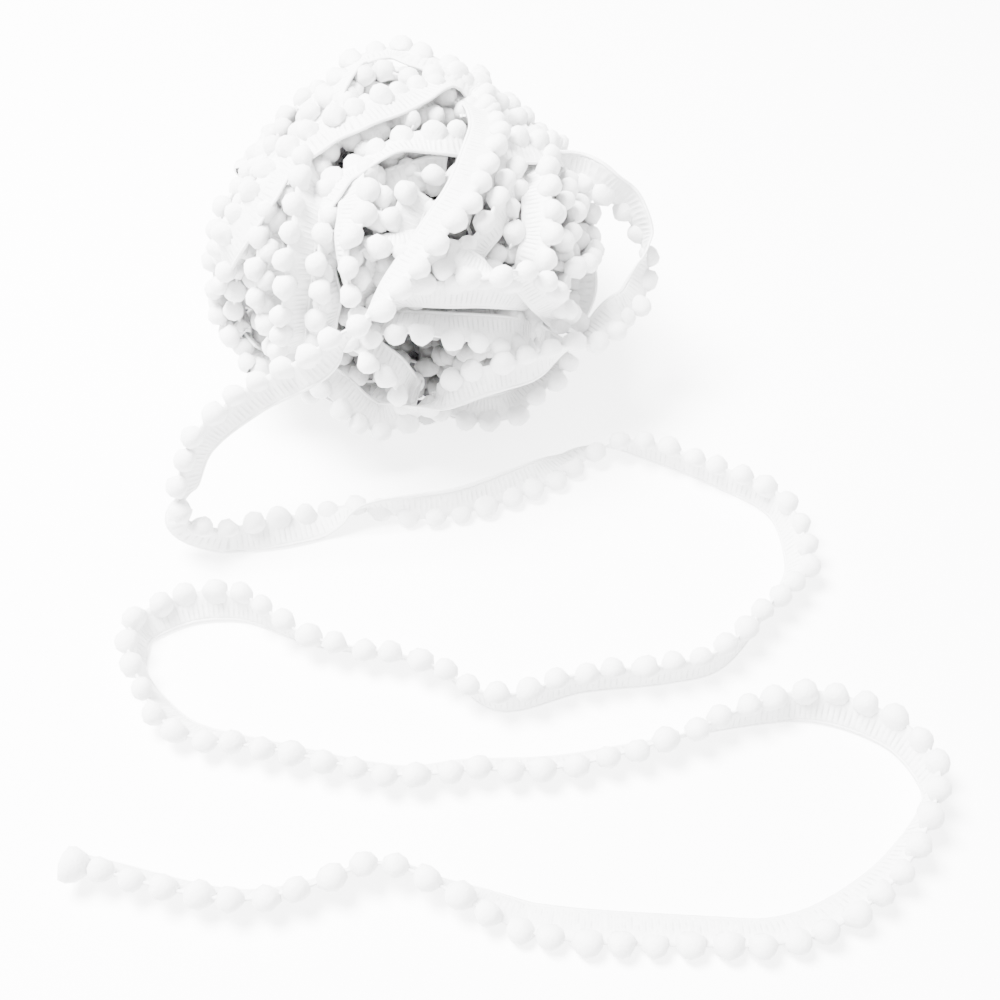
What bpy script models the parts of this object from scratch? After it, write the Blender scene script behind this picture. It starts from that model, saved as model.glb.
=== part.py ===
"""White pompom fringe trim: a narrow ribbed tape with a row of small pompoms along
one edge, wound into a loose pile, with one long loose end laid out in bends.

Run with  blender --background --python part.py  (metres, +Z up, floor at z = 0).
The origin is at the middle of the whole lay's footprint, on the floor.
"""
import math

import bmesh
import bpy
from mathutils import Vector

# ---------------------------------------------------------------- sizes (mm)
PITCH = 9.35          # from one pompom to the next
POM_R = 3.6           # radius of a pompom
TAPE_FAR = 9.9        # from the pompoms' line to the tape's free edge
TAPE_NEAR = 4.2       # from the pompoms' line to the tape's sewn edge
TAPE_T = 1.2          # thickness of the tape
END_POM_R = 4.7       # the doubled pompom at the cut end
GAP = 0.3             # between neighbouring solids

# the pile: a rounded block of loose turns, flat where it stands
PILE_AT = (-39.0, 90.0, 53.0)     # its centre
PILE_HALF = (66.0, 69.0, 53.0)    # half its width, depth and height
PILE_POWER = 2.4                  # 2 is an ellipsoid, more is boxier
CORE = 0.86                       # the solid heart, as a share of the pile
HOLLOW = Vector((0.04, -0.95, -0.30)).normalized()   # where its low hollow opens
HOLLOW_WIDE = 0.38                # radians
HOLLOW_DEEP = 0.26                # share of the pile, at its middle
TIP = math.radians(36.0)          # the strands' table is seen from this high

# The line of the pompoms from the top of the pile to the cut end.
# x, y: plan position, mm
# turn: where the pompoms point, seen along the line: 0 right, 90 up, 180 left,
#       270 down; it runs past 360 where the tape has twisted once
# lift: height above where it would lie on the floor, mm
LEAD = (
    # x, y, turn, lift
    (-8, 122, 206, 72), (-8, 106, 204, 86), (-7, 92, 200, 94),
    (-6, 78, 195, 98), (-9, 63, 190, 100), (-16, 47, 188, 97),
    (-25, 34, 182, 93), (-33, 22, 172, 88), (-43, 10, 160, 80),
    (-52, 5, 125, 70), (-62, 1, 85, 63), (-85, -1, 79, 49),
    (-104, -11, 84, 34), (-108, -21, 72, 11), (-95, -17, 97, 0),
    (-62, -1, 184, 0), (-53, 0, 219, 0), (-33, -5, 280, 0),
    (-15, -2, 292, 0), (13, 11, 334, 0), (29, 24, 393, 0),
    (46, 26, 440, 0), (70, 14, 447, 0), (93, -1, 467, 0),
    (99, -24, 490, 0), (97, -33, 492, 0), (85, -46, 464, 0),
    (65, -67, 446, 0), (49, -73, 452, 0), (22, -76, 449, 0),
    (-5, -84, 456, 0), (-29, -70, 478, 0), (-65, -61, 469, 0),
    (-88, -45, 432, 0), (-106, -43, 408, 0), (-120, -54, 422, 0),
    (-121, -62, 422, 0), (-118, -71, 432, 0), (-103, -93, 399, 0),
    (-69, -102, 409, 0), (-32, -110, 405, 0), (-14, -108, 402, 0),
    (13, -107, 400, 0), (48, -98, 420, 0), (92, -82, 481, 0),
    (116, -93, 479, 0), (123, -107, 472, 0), (122, -115, 464, 0),
    (109, -138, 493, 0), (87, -155, 513, 0), (70, -160, 515, 0),
    (54, -160, 524, 0), (7, -157, 536, 0), (-19, -146, 499, 0),
    (-36, -139, 505, 0), (-61, -147, 505, 0), (-78, -149, 493, 0),
    (-124, -138, 490, 0),
)
LEAD_LEAVES = 15 * PITCH    # along that line, where it leaves the pile

# The main turns on the pile. Columns: across, up and near, mm from the pile's
# centre as seen from the front and TIP above the floor; lean, degrees: where
# the pompoms point: 0 right of travel, 90 outward, 180 left, 270 inward.
STRANDS = {
    "arc": (
        (24, 36, 17, -10), (23, 48, 20, -10), (10, 49, 31, -12),
        (-9, 40, 43, -12), (-26, 31, 49, -14), (-39, 19, 52, -12),
        (-49, 6, 51, -5), (-61, -8, 28, 0)),
    "top_loop": (
        (-18, 40, 26, 235), (-17, 49, 27, 220), (-7, 60, 14, 160),
        (9, 58, 16, 150), (22, 50, 15, 150), (26, 40, 10, 150)),
    "arch": (
        (28, 22, 42, 215), (14, 26, 52, 210), (-4, 23, 55, 200),
        (-12, 11, 61, 180), (-14, -4, 68, 130), (-14, -17, 69, 90),
        (-13, -32, 56, 60)),
    "left_post": (
        (-34, 28, 37, 40), (-25, 13, 59, 35), (-24, 4, 64, 32),
        (-29, -16, 64, 32), (-34, -38, 46, 34), (-37, -49, 21, 40)),
    "left_rim": (
        (-46, 15, 34, 30), (-63, -1, 20, 80), (-65, -20, 21, 85),
        (-58, -36, 21, 70), (-44, -49, 22, 60)),
    "left_low": (
        (-59, -23, 19, 20), (-50, -36, 25, 10), (-37, -46, 26, 10)),
    "right_post": (
        (50, 26, 20, 180), (47, 12, 43, 180), (46, 2, 50, 180),
        (41, -15, 49, 180)),
    "right_rim": (
        (55, 22, 13, 150), (65, 5, 8, 118), (62, -6, 23, 110),
        (53, -18, 39, 90)),
    "big_loop": (
        (25, 25, 36, 195), (45, 26, 32, 190), (63, 25, 20, -20),
        (78, 14, 17, -30), (86, -3, 18, -110), (82, -18, 15, -175),
        (68, -32, 29, -185), (53, -45, 38, -215), (35, -50, 47, -205),
        (18, -52, 50, -220), (3, -61, 36, -330), (-12, -59, 37, -335),
        (-26, -43, 42, -330)),
    "mid_bar": (
        (-6, -25, 52, 200), (12, -20, 63, 198), (35, -21, 55, 194),
        (54, -27, 20, 190)),
    "cross_ribbon": (
        (11, 0, 59, 215), (24, -6, 66, 205), (37, -14, 63, 175),
        (49, -23, 51, 160), (61, -39, 16, 160)),
    "low_bar": (
        (-7, -32, 43, 20), (12, -28, 54, 15), (35, -30, 47, 10),
        (57, -38, 15, 0)),
    "bottom": (
        (13, -58, 24, 0), (31, -58, 24, 0), (49, -54, 23, 0),
        (64, -41, 17, 0)),
}

# The turns at the back and the sides. swing, tilt: heading and height of the
# turn's axis, degrees; offset: its plane from the centre, shares of the pile;
# start, stop: degrees along it; layer: share of the pile's size; lean as above.
TURNS = (
    # swing, tilt, offset, start, stop, layer, lean
    (95, 80, 0.44, -15, 195, 0.93, 20),
    (70, 72, 0.12, -10, 185, 1.00, 160),
    (110, 78, -0.38, -5, 190, 0.98, 20),
    (10, 5, 0.48, 272, 105, 0.96, 20),
    (-12, 8, 0.02, 285, 110, 0.96, 200),
    (15, -6, -0.48, 272, 105, 0.92, 10),
    (40, 30, -0.15, 265, 130, 0.94, 190),
)


# ------------------------------------------------------------------ helpers
def rest(turn):
    """Height of the pompoms' line when the strip lies on the floor."""
    return max(POM_R, 0.5 * TAPE_T + TAPE_FAR * math.sin(math.radians(turn)))


def smooth_rows(rows, spacing):
    """A smooth curve through rows (first three columns are a position), read
    off at an even spacing; the other columns follow it."""
    rows = [tuple(float(v) for v in r) for r in rows]
    ends = [tuple(2 * a - b for a, b in zip(rows[0], rows[1]))]
    tail = [tuple(2 * a - b for a, b in zip(rows[-1], rows[-2]))]
    pts = ends + rows + tail
    dense = []
    for p0, p1, p2, p3 in zip(pts, pts[1:], pts[2:], pts[3:]):
        d = [math.sqrt(max(math.dist(a[:3], b[:3]), 1e-6))
             for a, b in ((p0, p1), (p1, p2), (p2, p3))]
        m1 = [d[1] * ((b - a) / d[0] - (c - a) / (d[0] + d[1]) + (c - b) / d[1])
              for a, b, c in zip(p0, p1, p2)]
        m2 = [d[1] * ((b - a) / d[1] - (c - a) / (d[1] + d[2]) + (c - b) / d[2])
              for a, b, c in zip(p1, p2, p3)]
        steps = max(4, int(math.dist(p1[:3], p2[:3]) / 0.5))
        for k in range(steps):
            t = k / steps
            h = (2 * t**3 - 3 * t**2 + 1, t**3 - 2 * t**2 + t,
                 3 * t**2 - 2 * t**3, t**3 - t**2)
            dense.append(tuple(h[0] * a + h[1] * u + h[2] * b + h[3] * v
                               for a, u, b, v in zip(p1, m1, p2, m2)))
    dense.append(rows[-1])
    along = [0.0]
    for a, b in zip(dense, dense[1:]):
        along.append(along[-1] + math.dist(a[:3], b[:3]))
    count = max(2, round(along[-1] / spacing))
    out, j = [], 0
    for i in range(count + 1):
        s = along[-1] * i / count
        while j < len(along) - 2 and along[j + 1] < s:
            j += 1
        f = (s - along[j]) / max(along[j + 1] - along[j], 1e-9)
        out.append(tuple(a + f * (b - a) for a, b in zip(dense[j], dense[j + 1])))
    return out


def pile_normal(point):
    """Outward direction of the rounded block at a point near its surface."""
    g = [math.copysign(abs((p - c) / h) ** (PILE_POWER - 1), p - c) / h
         for p, c, h in zip(point, PILE_AT, PILE_HALF)]
    return Vector(g).normalized()


def pile_point(direction, layer):
    """The point on the rounded block in a direction from its centre."""
    size = sum(abs(d / h) ** PILE_POWER
               for d, h in zip(direction, PILE_HALF)) ** (1 / PILE_POWER)
    return tuple(c + layer * d / size for c, d in zip(PILE_AT, direction))


def stations(samples, outward):
    """Position, tape direction and face direction at each sample of a line.
    The tape direction points from the pompoms to the tape's free edge."""
    pos = [Vector(s[:3]) for s in samples]
    out = []
    for i, p in enumerate(pos):
        t = (pos[min(i + 1, len(pos) - 1)] - pos[max(i - 1, 0)]).normalized()
        o = outward(p)
        o = (o - o.dot(t) * t).normalized()
        a = math.radians(samples[i][3])
        side = math.cos(a) * t.cross(o) + math.sin(a) * o
        out.append((p, -side, t.cross(side)))
    return out


def loft(name, rings):
    """A closed body through rings that have the same number of points."""
    bm = bmesh.new()
    rows = [[bm.verts.new(Vector(p) / 1000.0) for p in ring] for ring in rings]
    n = len(rows[0])
    for a, b in zip(rows, rows[1:]):
        for j in range(n):
            k = (j + 1) % n
            bm.faces.new((a[j], a[k], b[k], b[j]))
    bm.faces.new(rows[0][::-1])
    bm.faces.new(rows[-1])
    bmesh.ops.triangulate(bm, faces=bm.faces)
    bmesh.ops.recalc_face_normals(bm, faces=bm.faces)
    mesh = bpy.data.meshes.new(name)
    bm.to_mesh(mesh)
    bm.free()
    ob = bpy.data.objects.new(name, mesh)
    return ob


def ring(station, outline, size=1.0):
    """An outline of (along the tape direction, along the face) points."""
    p, side, face = station
    return [p + u * size * side + v * size * face for u, v in outline]


def white(name, colour, roughness):
    mat = bpy.data.materials.new(name)
    mat.use_nodes = True
    shader = mat.node_tree.nodes["Principled BSDF"]
    shader.inputs["Base Color"].default_value = (*colour, 1.0)
    shader.inputs["Roughness"].default_value = roughness
    shader.inputs["Metallic"].default_value = 0.0
    return mat


# ------------------------------------------------------------------- scene
for old in list(bpy.data.objects):
    bpy.data.objects.remove(old, do_unlink=True)
trim = bpy.data.collections.new("pompom_trim")
guides = bpy.data.collections.new("cutters")
bpy.context.scene.collection.children.link(trim)
bpy.context.scene.collection.children.link(guides)
TAPE_WHITE = white("white cotton tape", (0.88, 0.88, 0.88), 0.90)
POM_WHITE = white("white pompom yarn", (0.92, 0.92, 0.92), 0.95)

# ------------------------------------------------------- the line of the lead
lead_rows = [(x, y, rest(turn) + lift, turn, lift) for x, y, turn, lift in LEAD]
half = PITCH / 2
lead = smooth_rows(lead_rows, half)
lead = [(x, y, rest(turn) + max(lift, 0.0), turn)
        for x, y, z, turn, lift in lead]
UP = Vector((0, 0, 1))
leave = 2 * round(LEAD_LEAVES / PITCH)
lead_places = stations(lead, lambda p: UP)
free = lead_places[leave:]

# ------------------------------------------------------------- the loose end
# The tape: a flat ribbon, a section at each pompom and each gap between two.
t = 0.5 * TAPE_T
tape_outline = ((TAPE_NEAR, -t), (TAPE_FAR, -t), (TAPE_FAR, t), (TAPE_NEAR, t))
tape = loft("tail_tape", [ring(s, tape_outline) for s in free])
trim.objects.link(tape)
tape.data.materials.append(TAPE_WHITE)

# The pompoms: six-sided beads on a narrow backing strip.
strip_outline = ((POM_R - 0.1, -t * 0.9), (POM_R - 0.1, t * 0.9), (1.0, t),
                 (-0.2, t * 0.7), (-0.2, -t * 0.7), (1.0, -t))
bead_outline = [(math.cos(math.radians(a)), math.sin(math.radians(a)))
                for a in (-30, 30, 90, 150, 210, 270)]
rings = []
for i, station in enumerate(free[:-1]):
    if i % 2 == 0:
        rings.append(ring(station, strip_outline))
        continue
    p, side, face = station
    last = i >= len(free) - 3
    size = END_POM_R if last else POM_R
    along = (free[i + 1][0] - free[i - 1][0]).normalized()
    middle = p if not last else p + UP * (END_POM_R - POM_R)
    bead = [ring((middle + along * step * size, side, face), bead_outline, size)
            for step in (-0.46, 0.46)]
    low = min(q.z for r in bead for q in r)
    rings += [[q - UP * min(low, 0.0) for q in r] for r in bead]
p, side, face = free[-1]
rings.append(ring((p, side, face), [(0.4 * u, 0.4 * v) for u, v in strip_outline]))
poms = loft("tail_pompoms", rings)
trim.objects.link(poms)
poms.data.materials.append(POM_WHITE)


# ------------------------------------------------------------------ the pile
def tipped(across, up, near):
    """From the table's directions to x, y, z."""
    c, s = math.cos(TIP), math.sin(TIP)
    return (PILE_AT[0] + across, PILE_AT[1] + up * s - near * c,
            PILE_AT[2] + up * c + near * s)


def turn_rows(swing, tilt, offset, start, stop, layer, lean):
    """Points of a turn round the pile, in a plane square to its axis."""
    a, b = math.radians(swing), math.radians(tilt)
    axis = Vector((math.cos(a) * math.cos(b), math.sin(a) * math.cos(b), math.sin(b)))
    u = axis.cross(UP).normalized()
    v = axis.cross(u)
    r = math.sqrt(1 - offset * offset)
    rows = []
    for k in range(9):
        c = math.radians(start + (stop - start) * k / 8)
        unit = axis * offset + r * (math.cos(c) * u + math.sin(c) * v)
        rows.append((*pile_point(
            tuple(d * h for d, h in zip(unit, PILE_HALF)), layer), lean))
    return rows


# A turn's section: the tape, and a bead or the gap between two beads.
BEAD = ((-5.0, -0.9), (2.4, -3.0), (7.4, -2.6), (7.4, 2.6), (2.4, 3.0), (-5.0, 0.9))
NECK = ((-5.0, -0.9), (1.4, -0.9), (4.8, -0.8), (4.8, 0.8), (1.4, 0.9), (-5.0, 0.9))


def strand(name, places, shift=0.0, plain=False):
    """A fat strip with beads, or without them where it is plain; shift moves
    the table's line to the tape's middle."""
    rings = []
    for i, (p, side, face) in enumerate(places):
        outline = BEAD if i % 2 or plain else NECK
        here = (p + shift * side, side, face)
        points = ring(here, [(-u, v) for u, v in outline])
        low = min(q.z for q in points)
        if low < 0.4:
            points = [q + UP * (0.4 - low) for q in points]
        rings.append(points)
    return loft(name, rings)


def core_layer(way):
    """Share of the pile that the core fills in a direction, less in the hollow."""
    far = way.angle(HOLLOW) / HOLLOW_WIDE
    return CORE - HOLLOW_DEEP * math.exp(-far * far)


bm = bmesh.new()
bmesh.ops.create_uvsphere(bm, u_segments=28, v_segments=18, radius=1.0)
for v in bm.verts:
    d = tuple(c * h for c, h in zip(v.co, PILE_HALF))
    v.co = Vector(pile_point(d, core_layer(v.co))) / 1000.0
    v.co.z -= PILE_AT[2] * (1 - CORE) * 0.001 + 0.0005
bmesh.ops.bisect_plane(bm, geom=bm.verts[:] + bm.edges[:] + bm.faces[:],
                       plane_co=(0, 0, 0), plane_no=(0, 0, -1), clear_outer=True)
bmesh.ops.holes_fill(bm, edges=[e for e in bm.edges if e.is_boundary])
bmesh.ops.triangulate(bm, faces=bm.faces)
bmesh.ops.recalc_face_normals(bm, faces=bm.faces)
mesh = bpy.data.meshes.new("wound_bundle")
bm.to_mesh(mesh)
bm.free()
pile = bpy.data.objects.new("wound_bundle", mesh)
trim.objects.link(pile)
pile.data.materials.append(POM_WHITE)

bodies = []
for name, rows in STRANDS.items():
    samples = smooth_rows([(*tipped(*r[:3]), r[3]) for r in rows], half)
    bodies.append(strand(name, stations(samples, pile_normal)))
for i, row in enumerate(TURNS):
    samples = smooth_rows(turn_rows(*row), 1.2 * PITCH)
    bodies.append(strand("turn_%d" % i, stations(samples, pile_normal), plain=True))
on_pile = lead_places[:leave + 1]
p, side, face = on_pile[-1]
back = (on_pile[-2][0] - p).normalized()
on_pile[-1] = (p + GAP * back, side, face)
bodies.append(strand("lead", on_pile, shift=TAPE_FAR - 5.0))

bm = bmesh.new()
for ob in bodies:
    bm.from_mesh(ob.data)
    bpy.data.objects.remove(ob)
mesh = bpy.data.meshes.new("turns")
bm.to_mesh(mesh)
bm.free()
turns = bpy.data.objects.new("turns", mesh)
guides.objects.link(turns)
turns.hide_render = True
turns.display_type = 'WIRE'

union = pile.modifiers.new("turns fused on", 'BOOLEAN')
union.operation = 'UNION'
union.solver = 'EXACT'
union.use_self = True
union.object = turns
bpy.context.view_layer.update()
fused = bpy.data.meshes.new_from_object(
    pile.evaluated_get(bpy.context.evaluated_depsgraph_get()))
pile.modifiers.clear()
pile.data = fused
fused.name = "wound_bundle"

# Keep the outer skin only: hollows closed in between the turns are filled.
bm = bmesh.new()
bm.from_mesh(fused)
bmesh.ops.triangulate(bm, faces=bm.faces)
groups, seen = [], set()
for start in bm.verts:
    if start in seen:
        continue
    seen.add(start)
    group, queue = [], [start]
    while queue:
        v = queue.pop()
        group.append(v)
        for e in v.link_edges:
            w = e.other_vert(v)
            if w not in seen:
                seen.add(w)
                queue.append(w)
    groups.append(group)
groups.sort(key=lambda g: max(v.co.x for v in g) - min(v.co.x for v in g))
for group in groups[:-1]:
    bmesh.ops.delete(bm, geom=group, context='VERTS')
bmesh.ops.triangulate(bm, faces=bm.faces)
bm.to_mesh(fused)
bm.free()
fused.materials.clear()
fused.materials.append(POM_WHITE)
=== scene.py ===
# %% [markdown]
# # White pompom fringe trim
# A narrow white tape, woven with fine crosswise ribs, carries one row of small fuzzy
# pompoms along its edge. Most of it is wound into a loose pile, and one long loose end
# runs out from the pile in bends. This lesson makes the trim as a factory does: first a
# straight length of tape with its pompoms, then each length is laid on its route.

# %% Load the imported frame
import math

import bpy
import numpy as np
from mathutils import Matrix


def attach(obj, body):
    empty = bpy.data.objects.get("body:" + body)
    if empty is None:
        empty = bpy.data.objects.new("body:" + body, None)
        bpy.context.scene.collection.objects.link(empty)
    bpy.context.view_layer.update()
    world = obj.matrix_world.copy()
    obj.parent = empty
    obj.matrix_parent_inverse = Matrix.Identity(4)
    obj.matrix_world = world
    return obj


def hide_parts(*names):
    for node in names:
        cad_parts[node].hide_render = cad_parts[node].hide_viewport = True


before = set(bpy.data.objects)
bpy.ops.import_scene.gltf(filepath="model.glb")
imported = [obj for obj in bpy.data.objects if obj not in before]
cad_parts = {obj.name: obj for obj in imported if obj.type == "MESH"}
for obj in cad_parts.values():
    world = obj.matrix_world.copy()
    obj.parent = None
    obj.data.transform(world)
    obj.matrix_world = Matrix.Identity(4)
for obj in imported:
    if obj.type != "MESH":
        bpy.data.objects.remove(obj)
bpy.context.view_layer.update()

# %% [markdown]
# ## Sizes
# The trim is the small kind, between 13 and 14 mm from the tape's free edge to the tips of
# the pompoms. Sizes are in millimetres and turned to metres once, when a piece is laid.

# %% Sizes of the trim
MM = 0.001
PITCH = 9.35            # from one pompom to the next
POM_R = 3.6             # height of a pompom's middle over the floor
FLUFF = 3.75            # radius of a pompom with its loose ends
TAPE_FAR = 9.9          # from the pompoms' line to the tape's free edge
TAPE_NEAR = -0.5        # the sewn edge lies just past the pompoms' line
TAPE_T = 0.8            # thickness of the cloth
RIBS = 5                # crosswise ribs for each pompom
RIB = PITCH / RIBS
RIB_HIGH = 0.28         # height of a rib
CORD_R = 0.62           # radius of the firm cord in the free edge
MIDDLE = 4.9            # from the pompoms' line to the middle of the tape
END_POM = 1.32          # size of the doubled pompom at the cut end, against the others
RIB_FROM = 3            # the ribs lie between these two lines across the tape
RIB_TO = 9
FLOOR_GAP = 0.02        # the trim stays this far over the floor
PILE_STRAY = 1.7        # how far pompoms stray from their line in the pile
LOOSE_STRAY = 1.0       # and along the loose end
READ_STEP = 1.0         # a route is read off this often

# %% Sizes of the pile
PILE_AT = np.array((-39.0, 90.0, 53.0))      # centre of the pile
PILE_HALF = np.array((66.0, 69.0, 53.0))     # half its width, depth and height
PILE_POWER = 2.4                             # 2 is an ellipsoid, more is boxier
TIP = math.radians(36.0)                     # the strands' table is seen from this high
UP = np.array((0.0, 0.0, 1.0))

# %% [markdown]
# ## The routes
# The trim is limp, so its shape is all in its routes. The longest one, the lead, comes
# over the top of the pile, down its front and out along the floor to the cut end. Its
# table holds the line of the pompoms in plan, how far the strip is turned, and how far it
# is lifted off the floor. The tape stands on its edge in the bends and lies down between
# them, and the turn runs on past 360 where the tape twists.

# %% The lead: x, y, turn (0 pompoms to the right of travel, 90 up), lift
LEAD = (
    (-14, 120, 206, 76), (-11, 107, 204, 91), (-7, 93, 200, 98),
    (-5, 78, 195, 100), (-7, 63, 190, 101), (-12, 47, 188, 97),
    (-19, 34, 182, 94), (-28, 22, 172, 89), (-40, 10, 160, 80),
    (-52, 5, 125, 70), (-62, 1, 85, 63), (-85, -1, 79, 49),
    (-104, -11, 84, 34), (-108, -21, 72, 11), (-95, -17, 97, 0),
    (-62, -1, 184, 0), (-53, 0, 219, 0), (-33, -5, 280, 0),
    (-15, -2, 292, 0), (13, 11, 334, 0), (29, 24, 393, 0),
    (46, 26, 440, 0), (70, 14, 447, 0), (93, -1, 467, 0),
    (99, -24, 490, 0), (97, -33, 492, 0), (85, -46, 464, 0),
    (65, -67, 446, 0), (49, -73, 452, 0), (22, -76, 449, 0),
    (-5, -84, 456, 0), (-29, -70, 478, 0), (-65, -61, 469, 0),
    (-88, -45, 432, 0), (-106, -43, 408, 0), (-120, -54, 422, 0),
    (-121, -62, 422, 0), (-118, -71, 432, 0), (-103, -93, 399, 0),
    (-69, -102, 409, 0), (-32, -110, 405, 0), (-14, -108, 402, 0),
    (13, -107, 400, 0), (48, -98, 420, 0), (92, -82, 481, 0),
    (116, -93, 479, 0), (123, -107, 472, 0), (122, -115, 464, 0),
    (109, -138, 493, 0), (87, -155, 513, 0), (70, -160, 515, 0),
    (54, -160, 522, 0), (7, -157, 528, 0), (-19, -146, 488, 0),
    (-36, -139, 479, 0), (-61, -147, 486, 0), (-78, -149, 490, 0),
    (-124, -138, 490, 0),
)
LEAD_LEAVES = 15 * PITCH    # along that line, where it leaves the pile

# %% [markdown]
# The pile's own turns are placed one by one where they show. Their table is read as if
# standing in front of the pile and looking down at it a little: across, up and near from
# its centre, and the way that the pompoms lean: 0 is to the right of travel, 90 towards
# the reader, and it runs on past 360 where the tape twists.

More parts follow.
